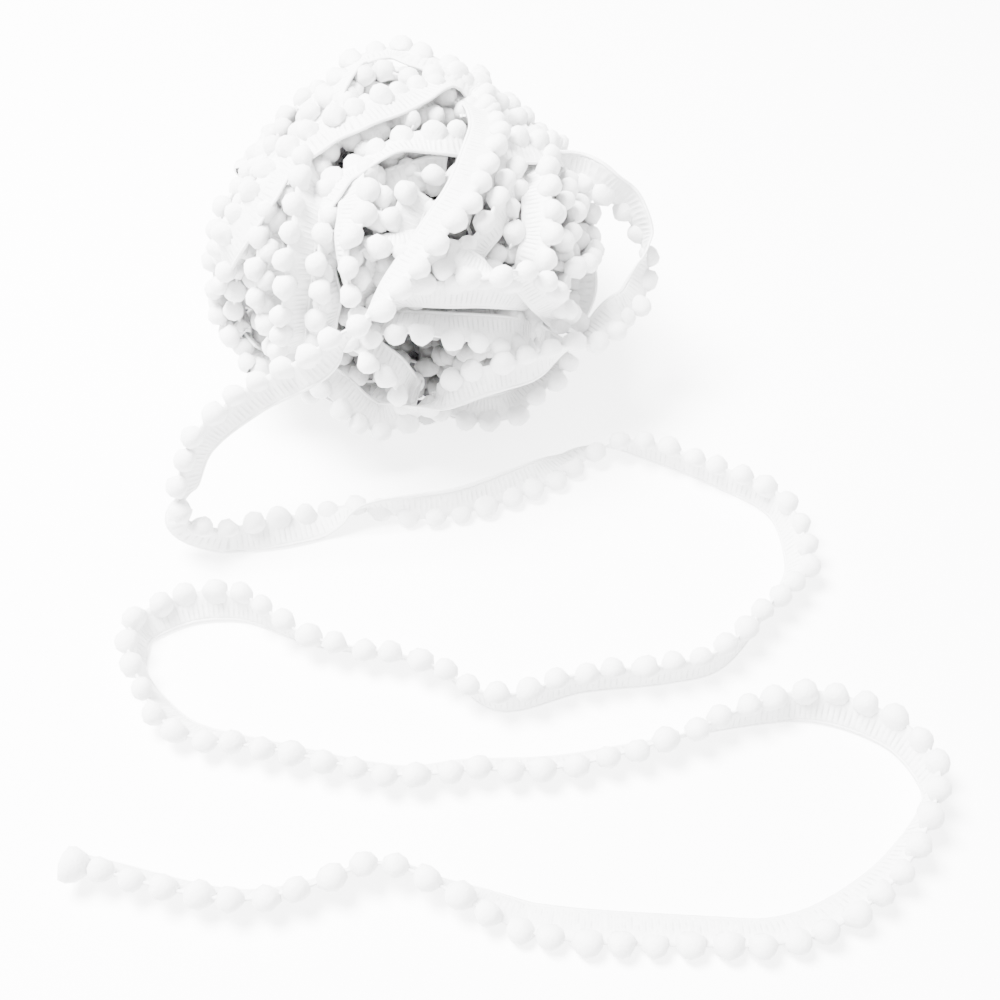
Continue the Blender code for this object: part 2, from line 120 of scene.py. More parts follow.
# %% The turns that show: across, up, near, lean
STRANDS = {
    "arc": (
        (27, 41, 14, -55), (27, 47, 13, -49), (23, 52, 13, -48), (17, 53, 19, -42),
        (8, 47, 31, -43), (0, 43, 38, -33), (-7, 40, 43, -34), (-13, 37, 46, -36),
        (-20, 34, 47, -36), (-26, 30, 49, -30), (-32, 26, 50, -32), (-37, 21, 52, -30),
        (-41, 14, 56, -21), (-45, 8, 57, -23), (-50, 1, 56, -26), (-55, -5, 51, -23),
        (-61, -12, 37, -24)),
    "top_loop": (
        (-21, 37, 30, -125), (-21, 42, 27, -126), (-21, 48, 24, -130), (-18, 55, 18, -123),
        (-14, 60, 12, -119), (-9, 62, 11, -115), (-2, 63, 10, -118), (4, 61, 13, -126),
        (10, 59, 14, -126), (15, 57, 14, -121), (21, 53, 15, -118), (25, 49, 13, -117)),
    "behind_loop": (
        (-17, 41, 21, 96), (-14, 50, 15, 101), (-8, 55, 10, 111), (0, 53, 13, 110),
        (9, 51, 16, 108), (17, 48, 16, 108)),
    "under_arc": (
        (18, 44, 16, 135), (8, 43, 23, 131), (-1, 40, 29, 131), (-9, 36, 34, 129),
        (-17, 33, 37, 126), (-24, 28, 39, 118), (-31, 22, 41, 115)),
    "arch": (
        (32, 27, 35, -47), (25, 29, 41, -39), (18, 30, 46, -34), (10, 30, 48, -44),
        (2, 29, 51, -58), (-4, 26, 53, -63), (-10, 22, 55, -63), (-15, 19, 55, -59),
        (-19, 14, 57, -52), (-23, 8, 58, -51), (-26, 2, 56, -50)),
    "pillar": (
        (-12, 22, 51, 130), (-13, 17, 57, 142), (-12, 11, 62, 167), (-13, 4, 66, 150),
        (-15, -2, 69, 122), (-15, -9, 69, 112), (-14, -16, 67, 106), (-12, -24, 63, 99),
        (-9, -31, 56, 101)),
    "left_post": (
        (-27, 29, 38, 52), (-26, 21, 50, 58), (-27, 14, 56, 49), (-27, 7, 61, 44),
        (-28, -1, 64, 39), (-29, -8, 65, 36), (-30, -16, 64, 39), (-32, -25, 60, 38),
        (-34, -33, 54, 32), (-35, -42, 38, 32)),
    "second_post": (
        (-21, 2, 58, 67), (-21, -5, 61, 67), (-21, -12, 62, 63), (-20, -20, 61, 58),
        (-22, -28, 57, 58), (-24, -36, 48, 62)),
    "left_inner": (
        (-39, 15, 44, 81), (-37, 8, 51, 52), (-40, 1, 53, 53), (-40, -6, 55, 37),
        (-41, -14, 54, 37), (-42, -23, 49, 61), (-39, -31, 45, 80), (-38, -40, 34, 80)),
    "left_outer": (
        (-51, 11, 33, 72), (-52, 3, 39, 64), (-51, -5, 45, 77), (-55, -13, 40, 66),
        (-61, -22, 19, 60), (-59, -29, 20, 52), (-56, -36, 20, 54), (-50, -42, 21, 59),
        (-43, -48, 21, 63)),
    "left_rim": (
        (-56, 16, 11, 61), (-60, 8, 18, 66), (-62, 0, 22, 68), (-63, -8, 23, 69),
        (-63, -16, 23, 69), (-62, -24, 22, 66), (-59, -32, 22, 65), (-55, -39, 22, 61),
        (-49, -46, 23, 62)),
    "top_bar": (
        (28, 28, 38, -152), (35, 28, 39, -148), (43, 28, 35, -149), (52, 28, 27, -143),
        (60, 27, -3, -141)),
    "big_loop": (
        (51, 24, 20, -40), (57, 25, 20, -35), (63, 24, 20, -30), (69, 21, 23, -28),
        (74, 17, 22, -30), (80, 13, 19, -36), (84, 7, 18, -48), (87, 0, 17, -68),
        (87, -5, 18, -92), (86, -10, 18, -118), (84, -16, 19, -142), (81, -22, 22, -165),
        (75, -26, 27, -182), (70, -31, 31, -208), (65, -36, 33, -240), (60, -38, 37, -275),
        (53, -41, 43, -306), (45, -45, 47, -327), (36, -47, 50, -340), (28, -49, 52, -350),
        (20, -52, 51, -384), (15, -55, 47, -424), (7, -58, 42, -470), (-1, -61, 37, -512),
        (-8, -62, 36, -545), (-14, -58, 39, -562), (-19, -52, 43, -570),
        (-24, -48, 43, -575), (-30, -44, 39, -580)),
    "mid_bar": (
        (-4, -25, 56, 114), (2, -21, 61, 124), (10, -19, 64, 143), (19, -19, 63, 148),
        (28, -19, 60, 149), (38, -20, 55, 146), (46, -22, 44, 142), (54, -27, 10, 139)),
    "low_bar": (
        (-9, -30, 49, 54), (-1, -28, 55, 49), (8, -28, 57, 48), (18, -29, 57, 39),
        (27, -30, 53, 27), (36, -31, 48, 21), (44, -33, 38, 22), (52, -38, 14, 27),
        (59, -42, 16, 37)),
    "low_bar_under": (
        (-19, -48, 20, 90), (-11, -51, 20, 90), (-5, -45, 16, 90), (2, -44, 15, 90),
        (9, -46, 13, 90), (17, -42, 15, 90), (27, -39, 22, 90), (35, -40, 13, 90)),
    "cross_ribbon": (
        (9, -2, 60, 32), (15, -5, 64, 29), (20, -6, 66, 24), (25, -9, 67, 34), (31, -11, 67, 63),
        (37, -12, 65, 108), (43, -15, 61, 145), (49, -21, 54, 166), (54, -27, 41, 149),
        (61, -34, 14, 132)),
    "right_post": (
        (47, 30, 15, 158), (47, 23, 32, 159), (47, 15, 43, 161), (47, 8, 49, 166),
        (47, 0, 53, 159), (45, -7, 54, 154), (44, -14, 50, 152)),
    "cross_tape": (
        (42, 20, 36, 50), (39, 14, 46, 54), (36, 8, 53, 53), (33, 2, 57, 53), (28, -4, 58, 50),
        (25, -10, 55, 51)),
    "right_inner": (
        (56, 23, -3, 110), (56, 16, 16, 121), (54, 10, 33, 115), (52, 3, 41, 110),
        (54, -4, 40, 119), (53, -10, 39, 115)),
    "right_rim": (
        (61, 20, -1, 107), (61, 13, 1, 114), (59, 4, 28, 109), (57, -3, 34, 103),
        (55, -10, 36, 104)),
    "right_outer": (
        (63, 17, 0, 112), (65, 10, 3, 114), (66, 3, 8, 116), (65, -4, 9, 116), (61, -9, 33, 112),
        (56, -12, 43, 113), (53, -19, 44, 110), (54, -26, 33, 101)),
    "right_back": (
        (64, -2, 9, -62), (65, -9, 9, -37), (66, -17, 10, -32), (65, -23, 11, -38),
        (62, -29, 12, -42), (58, -34, 13, -46)),
    "hollow_curl": (
        (-16, -32, 54, 56), (-10, -35, 57, 53), (-4, -40, 55, 45), (0, -44, 52, 40),
        (3, -49, 47, 47), (4, -55, 34, 61)),
    "curl_end": (
        (6, -55, 26, -50), (1, -57, 21, -57), (-5, -57, 21, -65), (-11, -56, 20, -71)),
    "bottom_tape": (
        (10, -59, 21, 44), (19, -59, 22, 34), (29, -61, 22, 0), (39, -59, 22, 19),
        (45, -55, 21, 55), (53, -49, 19, 64), (59, -42, 17, 69)),
    "bottom_left": (
        (-43, -47, 21, 53), (-37, -51, 21, 52), (-30, -53, 21, 61), (-23, -56, 22, 58)),
    "centre_low": (
        (16, -2, 61, 118), (9, -2, 64, 136), (1, -2, 66, 126), (-6, -2, 65, 108),
        (-11, -4, 62, 120)),
    "v_fill": (
        (-5, -2, 58, 57), (-5, -8, 60, 57), (-7, -16, 60, 55), (-9, -22, 58, 57)),
    "centre_post": (
        (9, 14, 56, 24), (6, 7, 60, 23), (4, 0, 62, 22)),
    "arch_skirt": (
        (17, 21, 44, 192), (12, 21, 46, 192), (6, 19, 49, 190), (0, 17, 51, 186),
        (-6, 14, 50, 182)),
    "fill_left": (
        (-29, 22, 42, 90), (-36, 10, 47, 90), (-40, 2, 49, 90), (-40, -5, 51, 90),
        (-42, -13, 50, 90), (-43, -22, 45, 90), (-44, -30, 39, 90), (-43, -39, 29, 90)),
    "fill_far_left": (
        (-46, 0, 45, 90), (-53, -7, 37, 90), (-55, -16, 34, 90), (-57, -24, 24, 90),
        (-56, -33, 19, 90), (-50, -40, 23, 90)),
    "fill_middle": (
        (-23, 16, 48, 90), (-20, 9, 51, 90), (-20, 2, 55, 90), (-22, -6, 57, 90),
        (-22, -14, 56, 90), (-23, -22, 54, 90), (-24, -31, 48, 90)),
    "fill_arch": (
        (-7, 19, 47, 90), (-3, 13, 52, 90), (-4, 6, 56, 90), (-6, 1, 57, 90)),
    "fill_right": (
        (25, 1, 54, 90), (23, 7, 51, 90), (25, 11, 47, 90), (30, 20, 38, 90)),
    "fill_far_right": (
        (40, 15, 35, 90), (39, 8, 42, 90), (40, 2, 46, 90), (38, -5, 48, 90)),
}

# The turns at the back and the sides. swing, tilt: heading and height of the turn's
# axis, degrees; offset: its plane from the centre, in shares of the pile; start, stop:
# degrees along it; layer: share of the pile's size; lean: as above.
TURNS = (
    (95, 80, 0.44, -15, 165, 0.93, 20),
    (70, 72, 0.12, -10, 185, 0.95, 160),
    (110, 78, -0.38, -5, 190, 0.98, 20),
    (10, 5, 0.48, 272, 105, 0.96, 20),
    (-12, 8, 0.02, 285, 110, 0.96, 200),
    (15, -6, -0.48, 272, 105, 0.92, 10),
    (40, 30, -0.15, 265, 130, 0.89, 190),
    (85, 78, 0.28, 5, 155, 0.90, 60),
    (100, 80, -0.14, 10, 175, 0.90, 110),
    (4, 12, 0.25, 280, 110, 0.90, 60),
    (-6, 0, -0.24, 280, 110, 0.90, 120),
    (90, 84, 0.55, 20, 190, 0.80, 90),
    (80, 82, 0.38, 10, 160, 0.85, 90),
    (100, 84, 0.20, 0, 188, 0.87, 90),
    (88, 80, 0.02, -8, 188, 0.88, 90),
    (95, 84, -0.26, -8, 188, 0.88, 90),
)


# %% [markdown]
# A few numbers of a table are not yet a route. A smooth curve goes through the rows, it
# is read off every millimetre, and each place gets three directions: along the strip,
# from the pompoms towards the tape's free edge, and square to the tape's face.

# %% Read a smooth route off a table
def rest(turn):
    """Height of the pompoms' line when the strip lies on the floor."""
    return np.maximum(POM_R, 0.6 + TAPE_FAR * np.sin(np.radians(turn)))


def smooth_rows(rows):
    """A smooth curve through rows, whose first three columns are a position."""
    rows = np.asarray(rows, float)
    ends = 2 * rows[[0, -1]] - rows[[1, -2]]
    pts = np.vstack((ends[:1], rows, ends[1:]))
    dense = []
    for p0, p1, p2, p3 in zip(pts, pts[1:], pts[2:], pts[3:]):
        d1, d2, d3 = (max(np.linalg.norm((b - a)[:3]), 1e-6) ** 0.5
                      for a, b in ((p0, p1), (p1, p2), (p2, p3)))
        m1 = d2 * ((p1 - p0) / d1 - (p2 - p0) / (d1 + d2) + (p2 - p1) / d2)
        m2 = d2 * ((p2 - p1) / d2 - (p3 - p1) / (d2 + d3) + (p3 - p2) / d3)
        t = np.arange(0, 1, 0.04)[:, None]
        dense.append((2 * t**3 - 3 * t**2 + 1) * p1 + (t**3 - 2 * t**2 + t) * m1
                     + (3 * t**2 - 2 * t**3) * p2 + (t**3 - t**2) * m2)
    return even(np.vstack(dense + [rows[-1:]]))


def even(rows):
    """The same line, read off at an even spacing."""
    steps = np.linalg.norm(np.diff(rows[:, :3], axis=0), axis=1)
    along = np.concatenate(((0.0,), np.cumsum(steps)))
    count = max(2, round(along[-1] / READ_STEP))
    places = np.linspace(0, along[-1], count + 1)
    return np.stack([np.interp(places, along, c) for c in rows.T], axis=1)


def unit(vectors):
    """The same directions, each of length 1."""
    return vectors / np.linalg.norm(vectors, axis=-1, keepdims=True)


def pile_normal(points):
    """Outward direction of the pile at points near its surface."""
    d = (points - PILE_AT) / PILE_HALF
    return unit(np.sign(d) * np.abs(d) ** (PILE_POWER - 1) / PILE_HALF)


def pile_point(directions, layer):
    """Points on the pile's rounded block in directions from its centre."""
    size = (np.abs(directions / PILE_HALF) ** PILE_POWER).sum(-1) ** (1 / PILE_POWER)
    return PILE_AT + layer * directions / size[..., None]


def side_of(points, outward, lean):
    """Direction from the tape to the pompoms at each point of a line."""
    along = unit(np.gradient(points, axis=0))
    out = unit(outward - (outward * along).sum(1)[:, None] * along)
    a = np.radians(lean)[:, None]
    return np.cos(a) * np.cross(along, out) + np.sin(a) * out


def route(points, pompom_side):
    """A strip's route: its pompoms' line, its tape direction and its face."""
    along = unit(np.gradient(points, axis=0))
    side = -unit(pompom_side - (pompom_side * along).sum(1)[:, None] * along)
    return {"points": points, "side": side, "face": np.cross(side, along)}


def route_length(way):
    """Length of a route, along its pompoms, in millimetres."""
    return np.linalg.norm(np.diff(way["points"], axis=0), axis=1).sum()


# %% The lead's route
rows = np.array([(x, y, rest(turn) + lift, turn, lift) for x, y, turn, lift in LEAD])
lead_line = smooth_rows(rows)
lead_line[:, 2] = rest(lead_line[:, 3]) + np.maximum(lead_line[:, 4], 0)
lead_side = side_of(lead_line[:, :3], np.tile(UP, (len(lead_line), 1)), lead_line[:, 3])
steps = np.linalg.norm(np.diff(lead_line[:, :3], axis=0), axis=1)
leaves_row = int(np.searchsorted(np.cumsum(steps), LEAD_LEAVES))
lead_on_pile = route(lead_line[:leaves_row + 1, :3], lead_side[:leaves_row + 1])
lead_free = route(lead_line[leaves_row:, :3], lead_side[leaves_row:])
print("loose end, mm:", round(route_length(lead_free), 1))


# %% The turns' routes
TURN_ROWS = 13      # rows of a turn at the back
CLEAR = 1.0         # both edges of a turn stay this far over the floor


def tipped(rows):
    """From the strands' table to x, y, z and lean."""
    across, up, near, lean = np.array(rows, float).T
    c, s = math.cos(TIP), math.sin(TIP)
    return np.stack((PILE_AT[0] + across, PILE_AT[1] + up * s - near * c,
                     PILE_AT[2] + up * c + near * s, lean), axis=1)


def turn_rows(swing, tilt, offset, start, stop, layer, lean):
    """Points of a turn round the pile, in a plane square to its axis."""
    a, b = math.radians(swing), math.radians(tilt)
    axis = np.array((math.cos(a) * math.cos(b), math.sin(a) * math.cos(b), math.sin(b)))
    u = unit(np.cross(axis, UP))
    v = np.cross(axis, u)
    c = np.radians(np.linspace(start, stop, TURN_ROWS))[:, None]
    way = axis * offset + math.sqrt(1 - offset * offset) * (np.cos(c) * u + np.sin(c) * v)
    points = pile_point(way * PILE_HALF, layer)
    return np.column_stack((points, np.full(TURN_ROWS, float(lean))))


def pile_route(rows, facing=None):
    """Route of a turn whose rows follow the middle of the tape."""
    line = smooth_rows(rows)
    points = line[:, :3]
    outward = pile_normal(points) if facing is None else np.tile(facing, (len(line), 1))
    side = side_of(points, outward, line[:, 3])
    on_row = points + MIDDLE * side
    low = np.minimum(on_row, on_row - TAPE_FAR * side)[:, 2] - CLEAR
    on_row[:, 2] -= np.minimum(low, 0)
    joined = even(np.hstack((on_row, side)))
    return route(joined[:, :3], joined[:, 3:])


READER = np.array((0.0, -math.cos(TIP), math.sin(TIP)))    # from the pile to the reader
shown_routes = {n: pile_route(tipped(rows), READER) for n, rows in STRANDS.items()}
back_routes = [pile_route(turn_rows(*row)) for row in TURNS]
print("turns that show, mm:", round(sum(route_length(w) for w in shown_routes.values())))
print("turns behind, mm:", round(sum(route_length(w) for w in back_routes)))

# %% [markdown]
# Under the outer turns lies a bed of older ones, and under that a core. Their tapes stand
# on edge and their pompoms face out, so that what shows in a gap between the outer turns
# is pompoms. Each is a stack of uneven rings, lower in the hollow at the front of the
# pile. The oldest turns of all lie flat on the floor, with their pompoms at the outside.

# %% The bed and the core of the pile
HOLLOW = unit(np.array((0.04, -0.95, -0.30)))    # where the low hollow opens
HOLLOW_WIDE = 0.46                               # radians
HOLLOW_DEEP = 0.48                               # share of the pile
RING_ROWS = 25                                   # rows of one ring
FLAT_RINGS = (0.22, 0.39, 0.56)                  # size of the flat ones, as such shares
FLAT_AT = 4.0                                    # height of their middle, mm
FLAT_LEAN = 12.0                                 # degrees up from the floor


def bed_ring(k, level, layer, pole):
    """One ring of a bed: its plane, its depth and its lean wander with its number k."""
    wobble = np.array((math.sin(2.1 * k), math.cos(3.7 * k), 0.0)) * 0.10
    axis = unit(np.array(pole) + wobble)
    u = unit(np.cross(axis, np.array((0.3, 0.1, 0.7))))
    v = np.cross(axis, u)
    c = np.linspace(0, 2 * math.pi, RING_ROWS)[:, None] + 0.9 * k
    across = math.sqrt(1 - level * level)
    way = axis * level + across * (np.cos(c) * u + np.sin(c) * v)
    far = np.arccos(np.clip(way @ HOLLOW, -1, 1))
    depth = (layer + 0.02 * np.sin(3 * c[:, 0] + 1.3 * k)
             - HOLLOW_DEEP * np.exp(-(far / HOLLOW_WIDE) ** 2))
    points = pile_point(way * PILE_HALF, depth[:, None])
    height = points[:, 2] / (2 * PILE_AT[2])
    points[:, 2] -= PILE_AT[2] * (1 - layer) * (0.9 - 1.1 * height)
    lean = 90 + 22 * np.sin(2 * c[:, 0] + 2.9 * k)
    return np.column_stack((points, lean))


def bed(layer, step, pole):
    """Rings from one pole of the pile to the other."""
    count = round(math.pi / step)
    tilts = (np.arange(count - 1) + 0.5) / count * math.pi - math.pi / 2
    return [pile_route(bed_ring(k, math.sin(a), layer, pole)) for k, a in enumerate(tilts)]


bed_routes = bed(0.82, 0.14, (0.10, -0.16, 1.0))
core_routes = bed(0.56, 0.21, (1.0, 0.3, 0.2))
turn = np.linspace(0, 2 * math.pi, RING_ROWS)[:, None]
for share in FLAT_RINGS:
    wave = share * (1 + 0.06 * np.sin(3 * turn + 9 * share))
    ring = PILE_AT + wave * PILE_HALF * np.hstack((np.cos(turn), np.sin(turn), 0 * turn))
    ring[:, 2] = FLAT_AT
    rows = np.column_stack((ring, np.full(RING_ROWS, FLAT_LEAN)))
    core_routes.append(pile_route(rows, UP))
print("bed:", len(bed_routes), "rings; core:", len(core_routes), "rings; mm:",
      round(sum(route_length(w) for w in bed_routes + core_routes)))

# %% [markdown]
# ## A straight length of tape
# One rib of the tape is a small grid whose middle columns are raised. An Array repeats
# it, and Solidify gives the cloth its thickness. Tape that is mostly covered has fewer
# columns to a rib. The free edge is firmer than the rest: a cord is woven into it, which
# is a six-sided rod here.


# %% Small helpers for modelling by hand
def only(ob):
    """Select one object and make it active."""
    bpy.ops.object.select_all(action='DESELECT')
    ob.select_set(True)
    bpy.context.view_layer.objects.active = ob


def pick(ob, test):
    """Select the vertices that pass a test, in edit mode's vertex mode."""
    bpy.ops.object.mode_set(mode='EDIT')
    bpy.ops.mesh.select_mode(type='VERT')
    bpy.ops.mesh.select_all(action='DESELECT')
    bpy.ops.object.mode_set(mode='OBJECT')
    for v in ob.data.vertices:
        v.select = bool(test(v.co))
    bpy.ops.object.mode_set(mode='EDIT')


def modify(ob, kind, **settings):
    """Add a modifier, set it and apply it."""
    only(ob)
    m = ob.modifiers.new(kind, kind)
    for key, value in settings.items():
        setattr(m, key, value)
    bpy.ops.object.modifier_apply(modifier=m.name)


def join(name, pieces):
    """Join pieces into one object with a name."""
    only(pieces[0])
    for p in pieces:
        p.select_set(True)
    if len(pieces) > 1:
        bpy.ops.object.join()
    pieces[0].name = pieces[0].data.name = name
    return pieces[0]


def repeat(ob, count, step, merge=True):
    """Repeat a piece along X."""
    modify(ob, 'ARRAY', count=count, use_relative_offset=False,
           use_constant_offset=True, constant_offset_displace=(step, 0, 0),
           use_merge_vertices=merge, merge_threshold=0.0005)


# %% The ribbed tape and its edge cord, straight along X, in millimetres
CORD_STEP = 2.4     # length of one step of the cord
CORD_SIDES = 6


def straight_tape(length, fine):
    """Cloth from its sewn edge to its free edge."""
    ribs = max(2, round(length / RIB))
    step = length / ribs
    columns = 4 if fine else 2
    bpy.ops.mesh.primitive_grid_add(x_subdivisions=columns, y_subdivisions=5, size=1)
    tape = bpy.context.object
    bpy.ops.object.mode_set(mode='EDIT')
    bpy.ops.mesh.select_all(action='SELECT')
    bpy.ops.transform.resize(value=(step, TAPE_FAR - TAPE_NEAR, 1))
    bpy.ops.transform.translate(value=(step / 2, (TAPE_FAR + TAPE_NEAR) / 2, 0))
    pick(tape, lambda co: 0.1 * step < co.x < 0.9 * step and RIB_FROM < co.y < RIB_TO)
    bpy.ops.transform.translate(value=(0, 0, RIB_HIGH / 2))
    pick(tape, lambda co: 0.4 * step < co.x < 0.6 * step and RIB_FROM < co.y < RIB_TO)
    bpy.ops.transform.translate(value=(0, 0, RIB_HIGH / 2))
    bpy.ops.object.mode_set(mode='OBJECT')
    repeat(tape, ribs, step)
    modify(tape, 'SOLIDIFY', thickness=TAPE_T, offset=0)
    return tape


def straight_cord(length):
    """A rod along the tape's free edge, in short steps so that it bends smoothly."""
    count = max(2, round(length / CORD_STEP))
    step = length / count
    bpy.ops.mesh.primitive_circle_add(
        vertices=CORD_SIDES, radius=CORD_R, fill_type='NOTHING',
        rotation=(0, math.pi / 2, 0), location=(0, TAPE_FAR - CORD_R, 0))
    cord = bpy.context.object
    bpy.ops.object.transform_apply(location=True, rotation=True, scale=True)
    bpy.ops.object.mode_set(mode='EDIT')
    bpy.ops.mesh.select_all(action='SELECT')
    bpy.ops.mesh.extrude_region_move(TRANSFORM_OT_translate={"value": (step, 0, 0)})
    bpy.ops.object.mode_set(mode='OBJECT')
    repeat(cord, count, step)
    bpy.ops.object.mode_set(mode='EDIT')
    bpy.ops.mesh.select_all(action='SELECT')
    bpy.ops.mesh.fill_holes(sides=CORD_SIDES)
    bpy.ops.mesh.normals_make_consistent(inside=False)
    bpy.ops.object.mode_set(mode='OBJECT')
    return cord


# %% [markdown]
# ## A row of pompoms
# A pompom is a bunch of cut yarn tied round its middle, so it is a ball only roughly.
# Eight of them are modelled: a small ball each, drawn out towards the tape where it is
# sewn down, then roughened with a different seed. The row of eight is repeated.

# %% Eight pompoms and their row
SET = 8                     # pompoms that are modelled one by one
FIRST_SEED = 11             # each of them has a seed of its own
FIRST = 0.5                 # pitches from the end of a length to its first pompom
FULL_TURN = 6.28            # radians
SIZE_SPREAD = 0.05          # how much their sizes differ
DRAWN_OUT = (1.18, 1.3, 1)  # the half that is sewn down is longer and wider
THINNED = ((0.8, 0.85), (2.2, 0.65), (3.4, 0.45))    # past this line, by this much
TUFTS = 0.22                # how uneven the cut ends are
STRAY_SHARES = (0.7, 0.4, 0.6)    # along the row, across it and off the tape's face
SEWN_BACK = 0.5             # the middle of a pompom lies this far outside its line


def pompom(seed, x, stray):
    """One pompom at x on the row's line, its sewn side towards +Y."""
    rng = np.random.default_rng(seed)
    size = FLUFF * (1 + SIZE_SPREAD * rng.standard_normal())
    bpy.ops.mesh.primitive_ico_sphere_add(
        subdivisions=2, radius=size, location=(x, 0, 0),
        rotation=tuple(rng.uniform(0, FULL_TURN, 3)))
    ball = bpy.context.object
    bpy.ops.object.transform_apply(location=True, rotation=True, scale=True)
    pick(ball, lambda co: co.y > 0)
    bpy.ops.transform.resize(value=DRAWN_OUT, center_override=(x, 0, 0))
    for line, share in THINNED:
        pick(ball, lambda co: co.y > line)
        bpy.ops.transform.resize(value=(1, 1, share), center_override=(x, 0, 0))
    bpy.ops.mesh.select_all(action='SELECT')
    bpy.ops.transform.vertex_random(offset=TUFTS, uniform=0.0, normal=1.0, seed=seed)
    shift = stray * rng.uniform(-1, 1, 3) * STRAY_SHARES - (0, SEWN_BACK, 0)
    bpy.ops.transform.translate(value=tuple(shift))
    bpy.ops.object.mode_set(mode='OBJECT')
    return ball


def straight_pompoms(length, stray, doubled_end):
    """A row of pompoms over a length."""
    count = int((length / PITCH) - FIRST + 1)
    row = join("set", [pompom(FIRST_SEED + k, (FIRST + k) * PITCH, stray)
                       for k in range(SET)])
    repeat(row, -(-count // SET), SET * PITCH, merge=False)
    pick(row, lambda co: co.x > (FIRST + count - 0.5) * PITCH)
    bpy.ops.mesh.delete(type='VERT')
    if doubled_end:
        last = (FIRST + count - 1) * PITCH
        pick(row, lambda co: co.x > last - 0.5 * PITCH)
        bpy.ops.transform.resize(value=(END_POM, END_POM, END_POM),
                                 center_override=(last, 0, 0))
    bpy.ops.object.mode_set(mode='OBJECT')
    return row


# %% [markdown]
# ## Laying a length on its route
# The straight length is a ruler: x says how far along the route a point is, y how far
# across the tape and z how far off its face. Laying it moves each point to that place on
# the route. The length's own pattern coordinates are kept first, so that the weave
# follows the tape wherever it goes.

# %% Lay a straight piece
def coordinates(ob):
    """Positions of a mesh's points, one row each."""
    me = ob.data
    co = np.empty(len(me.vertices) * 3)
    me.vertices.foreach_get("co", co)
    return co.reshape(-1, 3)


def keep_pattern(ob):
    """UV in metres on the cloth: along and across the straight strip."""
    me = ob.data
    co = coordinates(ob)
    index = np.empty(len(me.loops), dtype=int)
    me.loops.foreach_get("vertex_index", index)
    uv = me.uv_layers.new(name="strip") if not me.uv_layers else me.uv_layers[0]
    uv.name = "strip"
    uv.data.foreach_set("uv", (co[index][:, :2] * MM).ravel())


def lay(ob, way):
    """Bend a straight piece, made in millimetres, onto a route, in metres."""
    keep_pattern(ob)
    co = coordinates(ob)
    steps = np.linalg.norm(np.diff(way["points"], axis=0), axis=1)
    along = np.concatenate(((0.0,), np.cumsum(steps)))

    def read(key):
        return np.stack([np.interp(co[:, 0], along, c) for c in way[key].T], axis=1)

    placed = read("points") + co[:, 1:2] * read("side") + co[:, 2:3] * read("face")
    placed[:, 2] = np.maximum(placed[:, 2], FLOOR_GAP)
    ob.data.vertices.foreach_set("co", (placed * MM).ravel())
    ob.data.update()
    return ob


def trim(way, fine=True, stray=PILE_STRAY, doubled_end=False):
    """Tape and pompoms of one route."""
    length = route_length(way)
    cloth = [lay(straight_tape(length, fine), way), lay(straight_cord(length), way)]
    return join("tape", cloth), lay(straight_pompoms(length, stray, doubled_end), way)


# %% Lay the loose end
tape, row = trim(lead_free, stray=LOOSE_STRAY, doubled_end=True)
loose_tape = join("loose_tape", [tape])
loose_pompoms = join("loose_pompoms", [row])
print("loose tape faces:", len(loose_tape.data.polygons))

# %% [markdown]
# The pile is laid in four parts: the turns that show, those at the back and the sides,
# the bed and the core. Bed and core get less light between the turns above them, and
# their finish paints that shade into their colour. How deep a point lies is kept with the
# mesh as a share of the pile's size, 1 at its outside, and their finish reads it. Four of
# the turns that show lie under others, so they go with the bed and get its painted shade.

# %% Lay the pile
SHADED = ("under_arc", "arch_skirt", "low_bar_under", "behind_loop")
DEEP = ("bed", "core")


def keep_layer(ob):
    """Keep how deep in the pile each point lies, for the finish's painted shade."""
    d = (coordinates(ob) / MM - PILE_AT) / PILE_HALF
    d[:, 2] = np.maximum(d[:, 2], 0)
    share = (np.abs(d) ** PILE_POWER).sum(1) ** (1 / PILE_POWER)
    ob.data.attributes.new("layer", 'FLOAT', 'POINT').data.foreach_set("value", share)


shaded = [shown_routes.pop(name) for name in SHADED]
parts_of_pile = {
    "pile": [trim(w) for w in [lead_on_pile, *shown_routes.values()]],
    "back": [trim(w, fine=False) for w in back_routes],
    "bed": [trim(w, fine=False) for w in [*shaded, *bed_routes]],
    "core": [trim(w, fine=False) for w in core_routes]}
pieces = [loose_tape, loose_pompoms]
for part, trims in parts_of_pile.items():
    pieces.append(join(part + "_tape", [t for t, p in trims]))
    pieces.append(join(part + "_pompoms", [p for t, p in trims]))
for ob in pieces:
    if ob.name.startswith(DEEP):
        keep_layer(ob)
    print(ob.name, len(ob.data.polygons), "faces")

# %% [markdown]
# ## Finishes
# Everything is white, so the finish is all in the surface: cotton tape is matt with a
# thread's fine grain, and cut acrylic yarn scatters light softly at its edges. Each has a
# second version for the bed and the core, a greyer white with painted shade that gets
# darker with depth.

# %% Node helpers
# Painted shade: deep in the pile, white is painted darker towards SHADE.
SHADE = "#505050"       # what white turns to deep in the pile
SHADE_FROM = 0.42       # share of the pile's size where it is darkest
SHADE_TO = 0.92         # and where it ends


def linear(hex_colour):
    """An sRGB hex colour as linear RGBA."""
    parts = [int(hex_colour[i:i + 2], 16) / 255 for i in (1, 3, 5)]
    return (*(p / 12.92 if p <= 0.04045 else ((p + 0.055) / 1.055) ** 2.4
              for p in parts), 1.0)


def new_material(name):
    """A material with its node tree and its shader."""
    mat = bpy.data.materials.new(name)
    mat.use_nodes = True
    return mat, mat.node_tree, mat.node_tree.nodes["Principled BSDF"]


def node(tree, kind, inputs=None, **settings):
    """Add a node with its settings; an input is a value or a socket to link."""
    n = tree.nodes.new(kind)
    for key, value in settings.items():
        setattr(n, key, value)
    for key, value in (inputs or {}).items():
        if isinstance(value, bpy.types.NodeSocket):
            tree.links.new(value, n.inputs[key])
        else:
            n.inputs[key].default_value = value
    return n


